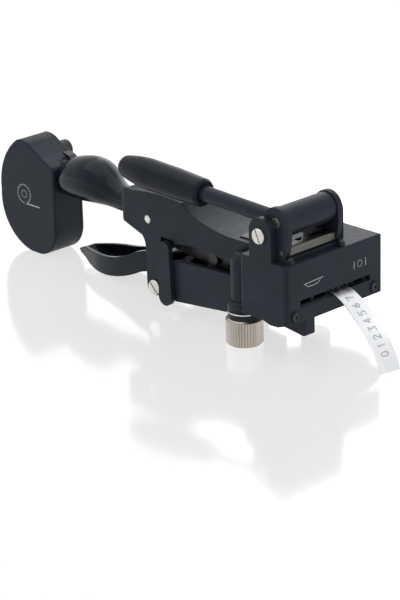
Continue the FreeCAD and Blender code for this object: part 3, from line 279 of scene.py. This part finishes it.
# embossed characters on the finished label
# Each entry is the centre of the label's lower face (x, y, z in mm) and its turn about Z.
LABEL_LINE = [
    (3.65, 3.0, 29.16, 0.0), (3.65, 0.4, 29.06, 0.0), (3.5, -6.9, 26.1, -2.0),
    (2.92, -13.2, 22.3, -6.0), (2.06, -18.85, 18.5, -10.0), (0.86, -24.7, 14.4, -12.5),
    (-0.72, -29.97, 10.3, -12.5), (-2.44, -34.5, 6.4, -11.5), (-4.12, -37.96, 2.85, -11.0),
    (-5.26, -39.94, 0.1, -11.0),
]
DIGITS = {
    "0": ring(0.5, 0.5, 0.5, 0.5, 10),
    "1": polyline((0.2, 0.75), (0.55, 1.0), (0.55, 0.0)),
    "2": polyline((0.0, 0.8), (0.3, 1.0), (0.8, 0.95), (0.95, 0.7), (0.0, 0.0), (1.0, 0.0)),
    "3": polyline((0.0, 1.0), (0.95, 1.0), (0.45, 0.58), (0.95, 0.35), (0.7, 0.0), (0.0, 0.05)),
    "4": polyline((0.75, 0.0), (0.75, 1.0), (0.0, 0.3), (1.0, 0.3)),
    "5": polyline((0.95, 1.0), (0.1, 1.0), (0.05, 0.55), (0.75, 0.6), (0.95, 0.3), (0.7, 0.0), (0.0, 0.05)),
    "6": polyline((0.8, 1.0), (0.15, 0.6), (0.05, 0.2), (0.4, 0.0), (0.9, 0.15), (0.85, 0.5), (0.1, 0.5)),
    "7": polyline((0.0, 1.0), (1.0, 1.0), (0.4, 0.0)),
}
DIGIT_START = 9.0
DIGIT_PITCH = 4.9
DIGIT_WIDTH = 2.3
DIGIT_HEIGHT = 4.0
DIGIT_STROKE = 0.5
DIGIT_LIFT = 0.16
PROBE = 4.0             # how far above the label the search for its skin starts

label_node = frame["nodes"]["label_strip"]
LABEL_SKIN = BVHTree.FromPolygons(
    [label_node.matrix_world @ v.co for v in label_node.data.vertices],
    [tuple(face.vertices) for face in label_node.data.polygons],
)


def on_label(along, across, lift):
    """Point above the label's outer face: way along it, offset from its centre line, height."""
    left = along
    for first, second in zip(LABEL_LINE, LABEL_LINE[1:]):
        a, b = Vector(first[:3]), Vector(second[:3])
        length = (b - a).length
        if left <= length:
            break
        left -= length
    share = left / length
    turn = math.radians(first[3] + (second[3] - first[3]) * share)
    side = Vector((math.cos(turn), math.sin(turn), 0.0))
    outward = side.cross((b - a).normalized()) * -1
    guess = a + (b - a) * share + side * across
    spot, _, _, _ = LABEL_SKIN.ray_cast(place(*(guess + outward * PROBE)), -outward)
    return spot + outward * lift * MM


def digit_painted_shade_tape():
    """Darker, rougher metal for the raised digits; the darker colour is painted shade for their relief."""
    # darker base colours here are painted shade on the raised digits' relief
    return plated("digit_painted_shade_tape", (0.34, 0.35, 0.37), (0.56, 0.57, 0.59), 0.30, 0.46)


def label_text():
    lines = []
    for index, digit in enumerate("76543210"):
        base = DIGIT_START + index * DIGIT_PITCH
        for (ax, ay), (bx, by) in DIGITS[digit]:
            first = (base + (1 - ax) * DIGIT_WIDTH, (0.5 - ay) * DIGIT_HEIGHT)
            second = (base + (1 - bx) * DIGIT_WIDTH, (0.5 - by) * DIGIT_HEIGHT)
            lines.append((first, second))
    # the digits' darker metal is painted shade for their relief
    metal = digit_painted_shade_tape()
    strokes("label_digits", lines, DIGIT_STROKE, DIGIT_LIFT, "tool_frame", metal, on_label)


label_text()


# plain roll-of-tape symbol on the near face of the magazine: y along, z up
MAG_NEAR = -8.3
ROLL_Y, ROLL_Z = 220.5, 32.0
ROLL_OUTER, ROLL_INNER = 5.2, 2.0
ROLL_TAIL = 12.0
ROLL_STROKE = 0.7
ROLL_LIFT = 0.06


def on_magazine(y, z, lift):
    return place(MAG_NEAR - lift, y, z)


ROLL_MARK = ring(ROLL_Y, ROLL_Z, ROLL_OUTER, ROLL_OUTER, 20) + ring(ROLL_Y, ROLL_Z, ROLL_INNER, ROLL_INNER)
ROLL_MARK += polyline((ROLL_Y, ROLL_Z - ROLL_OUTER), (ROLL_Y - ROLL_TAIL, ROLL_Z - ROLL_OUTER))
strokes("roll_mark", ROLL_MARK, ROLL_STROKE, ROLL_LIFT, "tool_frame", INK, on_magazine)


# ---------------------------------------------------------------- studio
FLOOR_HALF = 6.0
LIGHT_AIM = (0.02, 0.06, 0.04)


def stage_floor():
    half = FLOOR_HALF
    points = [(-half, -half, 0.0), (half, -half, 0.0), (half, half, 0.0), (-half, half, 0.0)]
    made = Shader("studio_floor", (0.12, 0.12, 0.12), 0.0, 0.11)
    made.bsdf.inputs["IOR"].default_value = 2.2
    made.bsdf.inputs["Emission Color"].default_value = (1.0, 1.0, 1.0, 1.0)
    made.bsdf.inputs["Emission Strength"].default_value = 0.68
    made.rough(made.noise(3.0, 1.0), 0.10, 0.125)
    floor = add_mesh("studio_floor", points, [(0, 1, 2, 3)], made.mat)


def area_light(name, where, width, height, power):
    data = bpy.data.lights.new(name, "AREA")
    data.shape = "RECTANGLE"
    data.size = width
    data.size_y = height
    data.energy = power
    lamp = bpy.data.objects.new(name, data)
    bpy.context.scene.collection.objects.link(lamp)
    lamp.location = where
    lamp.rotation_euler = (Vector(LIGHT_AIM) - Vector(where)).to_track_quat("-Z", "Y").to_euler()


def studio():
    stage_floor()
    world = bpy.data.worlds.new("studio_world")
    world.use_nodes = True
    sky = world.node_tree.nodes["Background"]
    sky.inputs["Color"].default_value = (1.0, 1.0, 1.0, 1.0)
    sky.inputs["Strength"].default_value = 1.0
    bpy.context.scene.world = world
    bpy.context.scene.view_settings.view_transform = "Standard"
    area_light("top_box", (0.05, 0.25, 0.9), 1.2, 1.0, 4.0)
    area_light("far_box", (0.9, 0.5, 0.5), 0.7, 0.7, 2.0)


# camera: direction, then place relative to the head's middle in mm, then lens
AZIMUTH, ELEVATION, ROLL = (math.radians(a) for a in (-43.6, 20.9, -1.56))
SIDEWAYS, UPWARDS, DISTANCE = 65.6, -20.2, 1212.0
HEAD_BASE = 3.3         # height that the camera's place is counted from
SENSOR = 36.0
LENS = 150.0


def camera():
    level = math.cos(ELEVATION)
    back = Vector((math.sin(AZIMUTH) * level, -math.cos(AZIMUTH) * level, math.sin(ELEVATION)))
    right = Vector((math.cos(AZIMUTH), math.sin(AZIMUTH), 0.0))
    up = back.cross(right)
    side = right * math.cos(ROLL) + up * math.sin(ROLL)
    tall = up * math.cos(ROLL) - right * math.sin(ROLL)
    where = side * -SIDEWAYS - tall * UPWARDS + back * DISTANCE
    data = bpy.data.cameras.new("photo_camera")
    data.sensor_width = SENSOR
    data.lens = LENS
    data.clip_end = 50.0
    made = bpy.data.objects.new("photo_camera", data)
    bpy.context.scene.collection.objects.link(made)
    spot = place(where.x, where.y, where.z + HEAD_BASE)
    turn = Matrix((side, tall, back)).transposed().to_4x4()
    made.matrix_world = Matrix.Translation(spot) @ turn
    bpy.context.scene.camera = made


studio()
camera()
